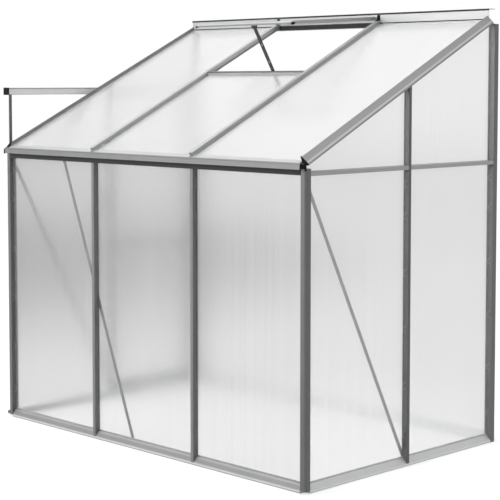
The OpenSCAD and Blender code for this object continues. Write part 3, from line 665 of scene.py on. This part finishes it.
# Sash: painted shade on the face of its front rail, a painted highlight on its right stile, and black
# corners
CORNER_LAP, CORNER_OUT = 3.0, 4.6
strip("sash_rail_shade", on_sash, [
    (SINK, -6.6), (-0.6, -6.2), (-0.8, -3.0), (-0.6, 0.2), (SINK, 0.6)
], ((SASH_X0 + CORNER_LAP, SASH_X1 - CORNER_LAP),), GUTTER, foot=(SASH_FOOT, 0.0))
strip("sash_stile_highlight", on_sash, [
    (SASH_FOOT + SASH_W + 2, -6.0), (-12.0, -6.0), (-11.0, 0.0), (-12.0, 6.0), (SASH_FOOT + SASH_W + 2, 6.0)
], ((SASH_X1 - SINK, SASH_X1 + 0.8),), PAINTED_HIGHLIGHT)
strip("sash_corners", on_sash, [
    (-1.2, -10.0), (4.0, -10.0), (SASH_W + 0.5, -7.4), (SASH_W + 0.5, 0.6), (-1.2, 0.6)
], (
    (SASH_X0 - CORNER_OUT, SASH_X0 + CORNER_LAP), (SASH_X1 - CORNER_LAP, SASH_X1 + CORNER_OUT)
), BLACK, foot=(SASH_FOOT, 0.0))

ALONG_X = Vector((1.0, 0.0, 0.0))
# The stay's slots: half their width, their length, their spacing, and where the row starts and ends
SLOT_HALF, SLOT_LEN, SLOT_STEP, STAY_HEAD, SLOT_START, SLOT_END = 2.4, 12.0, 80.0, 6.0, 14.0, 10.0
# The ears beside the stay's head: their clearance and outer face, and their half length on the sash
EAR_GAP, EAR_OUT, EAR_HALF = 0.8, 3.5, 6.0
PIN_R, PIN_DROP = 2.2, 13.0


def slotted_bar(mesh, length):
    """The stay's flat bar with its row of slots, hanging down from its pivot, in millimetres."""
    columns = (-STAY_W / 2, -SLOT_HALF, SLOT_HALF, STAY_W / 2)
    rows = [STAY_HEAD, -SLOT_START]
    while rows[-1] - SLOT_STEP > SLOT_END - length:
        rows += [rows[-1] - SLOT_STEP + SLOT_LEN, rows[-1] - SLOT_STEP]
    rows.append(-length)
    grid = [[mesh.verts.new((c, -STAY_T / 2, r)) for c in columns] for r in rows]
    for i in range(len(rows) - 1):
        for j in range(len(columns) - 1):
            slot = j == 1 and i % 2 == 0 and 0 < i < len(rows) - 2
            if not slot:
                mesh.faces.new((grid[i][j], grid[i][j + 1], grid[i + 1][j + 1], grid[i + 1][j]))
    grown = bmesh.ops.extrude_face_region(mesh, geom=mesh.faces[:])
    for vert in grown["geom"]:
        if isinstance(vert, bmesh.types.BMVert):
            vert.co.y = STAY_T / 2


def make_stay():
    """Prop of the vent: a flat bar with a row of slots, hung on a pin between two ears."""
    head_x = WIDTH / 2 + STAY_X
    rest_run = VENT_RUN + SILL_BACK + SEAT_GAP + STAY_T / 2
    rest_y = rest_run * math.cos(PITCH) + PEG_UNDER * math.sin(PITCH)
    rest_z = ROOF_Z + rest_run * math.sin(PITCH) - PEG_UNDER * math.cos(PITCH)
    drop = SASH_T / 2 + BRACKET_H
    foot = SASH_FOOT + SASH_W / 2
    pivot_y = HINGE_Y + foot * math.cos(SASH_SLOPE) + drop * math.sin(SASH_SLOPE)
    pivot_z = HINGE_Z + foot * math.sin(SASH_SLOPE) - drop * math.cos(SASH_SLOPE)
    tilt = math.atan2(rest_y - pivot_y, pivot_z - rest_z)
    fall = math.hypot(rest_y - pivot_y, pivot_z - rest_z)
    side = math.atan2(STAY_LEAN, fall)
    turn = Matrix.Rotation(tilt, 3, "X") @ Matrix.Rotation(-side, 3, "Y")
    mesh = bmesh.new()
    slotted_bar(mesh, math.hypot(fall, STAY_LEAN) + STAY_TAIL)
    for vert in mesh.verts:
        vert.co = place(head_x, pivot_y, pivot_z) + turn @ (vert.co * MM)
    near, hold = STAY_W / 2 + EAR_GAP, STAY_W / 2 + EAR_OUT
    back, front = foot - EAR_HALF, foot + EAR_HALF
    ear = [(back, -7), (front, -7), (front, -12), (foot + 3, -16), (foot - 3, -16), (back, -12)]
    for x0, x1 in ((-hold, -near), (near, hold)):
        loft(mesh, [[on_sash(head_x + x, b, n) for b, n in ear] for x in (x0, x1)])
    plate = [(-hold, back), (hold, back), (hold, front), (-hold, front)]
    loft(mesh, [[on_sash(head_x + x, b, n) for x, b in plate] for n in (-9.5, -6.9)])
    pin = ((PIN_R, -hold - 1), (PIN_R, hold + 1))
    turned(mesh, on_sash(head_x, foot, -PIN_DROP), ALONG_X, pin, sides=12)
    piece("vent_prop", in_fixed_order(mesh), PROP, stands_for="vent_stay", smooth=35)


make_stay()

# Where the bolts sit: the ends of the braces, then the glazing bars
BRACE_FOOT = UPSTAND_H - BRACE_W / 2
BRACE_HEAD = (BAR_D + 8.7, EAVE_H - BRACE_DROP)
BOLT_LOW, BOLT_UNDER_EAVE, BOLT_HIGH = 60.0, EAVE_H - 22.0, 1500.0
FRONT_BRACE_ENDS = ((BAY - BRACE_RUN, EAVE_H), (BAY + BRACE_RUN, BRACE_FOOT))
GABLE_BRACE_ENDS = (BRACE_HEAD, (GABLE_BAY, BRACE_FOOT))
FRONT_BAR_BOLTS = (
    (BAY, BOLT_UNDER_EAVE), (2 * BAY, BOLT_UNDER_EAVE), (BAY, BOLT_LOW), (2 * BAY, BOLT_LOW)
)
GABLE_BAR_BOLTS = ((GABLE_BAY, EAVE_H), (GABLE_BAY, BOLT_LOW), (GABLE_BAY, BOLT_HIGH))
STRUT_FACE = -9.0


def frame_bolts():
    """Bolts where braces, rails and posts meet, with their heads inside the frame."""
    mesh = bmesh.new()
    for inset, front_spots, gable_spots in (
        (BAR_D + BRACE_T, FRONT_BRACE_ENDS, GABLE_BRACE_ENDS), (BAR_D, FRONT_BAR_BOLTS, GABLE_BAR_BOLTS)
    ):
        for wall, spots, inward in (
            (on_front, front_spots, Vector((0, 1, 0))), (on_right, gable_spots, -ALONG_X),
            (on_left, gable_spots, ALONG_X)
        ):
            for a, b in spots:
                hex_bolt(mesh, wall(a, b, inset), inward)
    hex_bolt(mesh, place(STRUT_FACE, TRACK_START + BRACE_W / 2, EAVE_H), -ALONG_X, across=8.0)
    piece("frame_bolts", mesh, ZINC, smooth=30)


frame_bolts()

DOOR_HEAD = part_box("door_stiles")[1][2] / MM
SCREW_IN, SCREW_APART = 14.0, 8.0
GRIP_W, GRIP_T, GRIP_BEND, GRIP_FOOT_R = 10.0, 13.0, 14.0, 7.0


def door_screws():
    mesh = bmesh.new()
    heights = (DOOR_FOOT + SCREW_IN, DOOR_MID - SCREW_APART, DOOR_MID + SCREW_APART, DOOR_HEAD - SCREW_IN)
    for y in (DOOR_Y0 + STILE_W / 2, DOOR_Y1 - STILE_W / 2):
        for z in heights:
            pan_screw(mesh, place(DOOR_FACE, y, z), -ALONG_X)
    piece("door_screws", mesh, ZINC, "door", smooth=40)


def door_grip():
    """A bent bar on two round feet."""
    mesh = bmesh.new()
    y = DOOR_Y0 + STILE_W / 2
    z0 = HANDLE_Z - HANDLE_LEN / 2 + GRIP_FOOT_R
    z1 = HANDLE_Z + HANDLE_LEN / 2 - GRIP_FOOT_R
    reach = HANDLE_OUT - GRIP_W / 2
    bend = [(0.0, 0.0)] + [
        (reach - GRIP_BEND + GRIP_BEND * math.sin(t), GRIP_BEND - GRIP_BEND * math.cos(t))
        for t in [math.pi / 2 * k / 8 for k in range(9)]
    ]
    path = [place(DOOR_FACE - out, y, z0 + up) for out, up in bend]
    path += [place(DOOR_FACE - out, y, z1 - up) for out, up in reversed(bend)]
    wire(mesh, path, Vector((0, 1, 0)), GRIP_W, GRIP_T, sides=16)
    for z in (z0, z1):
        foot = ((GRIP_FOOT_R, -SINK), (GRIP_FOOT_R, 2.0), (GRIP_FOOT_R - 0.8, 3.0))
        turned(mesh, place(DOOR_FACE, y, z), -ALONG_X, foot, sides=24)
    piece("door_grip", mesh, BLACK, "door", "door_handle", smooth=40)


def door_gaskets():
    """Rubber beads around both sheets of the door, inside and outside."""
    mesh = bmesh.new()
    y0, y1 = DOOR_Y0 + STILE_W, DOOR_Y1 - STILE_W
    middle = DOOR_FACE + DOOR_T / 2
    bead = ((-0.1, 0.1), (-0.1, 2.4), (1.8, 3.0), (3.6, 1.6), (3.8, 0.1))
    for z0, z1 in (
        (DOOR_FOOT + STILE_W, DOOR_MID - STILE_W / 2), (DOOR_MID + STILE_W / 2, DOOR_HEAD - STILE_W)
    ):
        corners = ((y0, z0, 1, 1), (y1, z0, -1, 1), (y1, z1, -1, -1), (y0, z1, 1, -1))
        for way in (-1, 1):
            rows = [
                [
                    mesh.verts.new(place(
                        middle + way * (SHEET_T / 2 + proud), y + to_y * inset, z + to_z * inset
                    ))
                    for y, z, to_y, to_z in corners
                ]
                for inset, proud in bead
            ]
            for first, second in zip(rows, rows[1:] + rows[:1]):
                for j in range(len(corners)):
                    k = (j + 1) % len(corners)
                    mesh.faces.new((first[j], first[k], second[k], second[j]))
    piece("door_gaskets", mesh, RUBBER, "door")


door_screws()
door_grip()
door_gaskets()

# Through the sheets, the surroundings are dark far behind on the left: a patch of floor, a part of the sky
DARK_PATCH = (-8.5, 1.0, 0.0)
DARK_WAY = (-0.88, 0.46, -0.12)
WHITE = (1.0, 1.0, 1.0, 1.0)


def floor_material():
    """Pale floor, white to the eye; through the sheets it shows its dark patch."""
    mat, tree, shader = new_material("pale_floor")
    path = node(tree, "ShaderNodeLightPath")
    spot = node(tree, "ShaderNodeTexCoord")
    seen = node(tree, "ShaderNodeMath", operation="MAXIMUM")
    away = node(tree, "ShaderNodeVectorMath", operation="LENGTH")
    plain = node(tree, "ShaderNodeMapRange", {
        "From Min": 1.5, "From Max": 6.0, "To Min": 0.6, "To Max": 0.82
    })
    patch = node(tree, "ShaderNodeVectorMath", {1: DARK_PATCH}, operation="DISTANCE")
    shaded = node(tree, "ShaderNodeMapRange", {
        "From Min": 4.0, "From Max": 6.8, "To Min": 0.0, "To Max": 0.69
    })
    direct = node(tree, "ShaderNodeMath", operation="MULTIPLY")
    blurred = node(tree, "ShaderNodeMath", operation="MULTIPLY")
    through = node(tree, "ShaderNodeMix", data_type="FLOAT")
    link(
        tree,
        (spot.outputs["Object"], away.inputs[0]),
        (away.outputs["Value"], plain.inputs["Value"]),
        (spot.outputs["Object"], patch.inputs[0]),
        (patch.outputs["Value"], shaded.inputs["Value"]),
        (path.outputs["Is Camera Ray"], seen.inputs[0]),
        (path.outputs["Is Glossy Ray"], seen.inputs[1]),
        (seen.outputs[0], direct.inputs[0]),
        (plain.outputs["Result"], direct.inputs[1]),
        (shaded.outputs["Result"], blurred.inputs[0]),
        (plain.outputs["Result"], blurred.inputs[1]),
        (path.outputs["Is Transmission Ray"], through.inputs[MIX_BY]),
        (direct.outputs[0], through.inputs[FLOAT_A]),
        (blurred.outputs[0], through.inputs[FLOAT_B]),
        (through.outputs[FLOAT_OUT], shader.inputs["Emission Strength"]),
    )
    shader.inputs["Base Color"].default_value = grey(0.5)
    shader.inputs["Roughness"].default_value = 0.9
    shader.inputs["Specular IOR Level"].default_value = 0.0
    shader.inputs["Emission Color"].default_value = WHITE
    return mat


FLOOR_REACH, FLOOR_Z = 22.0, -0.0008


def make_floor():
    mesh = bpy.data.meshes.new("floor")
    corners = [(x * FLOOR_REACH, y * FLOOR_REACH, 0) for x, y in ((-1, -1), (1, -1), (1, 1), (-1, 1))]
    mesh.from_pydata(corners, [], [(0, 1, 2, 3)])
    mesh.materials.append(floor_material())
    floor = bpy.data.objects.new("floor", mesh)
    floor.location.z = FLOOR_Z
    scene.collection.objects.link(floor)


def make_world():
    """White to the eye, softer as light; through the sheets it shows its dark part."""
    world = bpy.data.worlds.new("studio")
    scene.world = world
    world.use_nodes = True
    tree = world.node_tree
    back = tree.nodes["Background"]
    path = node(tree, "ShaderNodeLightPath")
    spot = node(tree, "ShaderNodeTexCoord")
    seen = node(tree, "ShaderNodeMath", operation="MAXIMUM")
    plain = node(tree, "ShaderNodeMapRange", {"To Min": 0.42, "To Max": 1.0})
    side = node(tree, "ShaderNodeVectorMath", {1: DARK_WAY}, operation="DOT_PRODUCT")
    shaded = node(tree, "ShaderNodeMapRange", {
        "From Min": 0.95, "From Max": 1.0, "To Min": 0.95, "To Max": 0.1
    })
    through = node(tree, "ShaderNodeMix", data_type="FLOAT")
    link(
        tree,
        (path.outputs["Is Camera Ray"], seen.inputs[0]),
        (path.outputs["Is Glossy Ray"], seen.inputs[1]),
        (seen.outputs[0], plain.inputs["Value"]),
        (spot.outputs["Generated"], side.inputs[0]),
        (side.outputs["Value"], shaded.inputs["Value"]),
        (path.outputs["Is Transmission Ray"], through.inputs[MIX_BY]),
        (plain.outputs["Result"], through.inputs[FLOAT_A]),
        (shaded.outputs["Result"], through.inputs[FLOAT_B]),
        (through.outputs[FLOAT_OUT], back.inputs["Strength"]),
    )
    back.inputs["Color"].default_value = WHITE


def lamp(name, spot, aim, size, power):
    light = bpy.data.lights.new(name, "AREA")
    light.shape = "RECTANGLE"
    light.size, light.size_y = size
    light.energy = power
    obj = bpy.data.objects.new(name, light)
    obj.location = spot
    obj.rotation_euler = (Vector(aim) - Vector(spot)).to_track_quat("-Z", "Y").to_euler()
    scene.collection.objects.link(obj)


def make_camera():
    data = bpy.data.cameras.new("camera")
    data.lens = 107.27
    data.sensor_width = 36.0
    data.shift_y = -0.13
    data.clip_end = 200.0
    cam = bpy.data.objects.new("camera", data)
    cam.location = (4.7665, -4.6309, 1.558)
    cam.rotation_euler = (math.radians(90 - 3.949), 0.0, math.radians(45.259))
    scene.collection.objects.link(cam)
    scene.camera = cam


make_floor()
make_world()
lamp("overhead", (-0.4, -0.3, 5.2), aim=(0.0, 0.0, 1.0), size=(6.0, 6.0), power=150.0)
lamp("front_fill", (-2.5, -5.5, 2.6), aim=(0.0, 0.0, 0.9), size=(3.5, 2.5), power=190.0)
make_camera()
scene.view_settings.view_transform = "Standard"
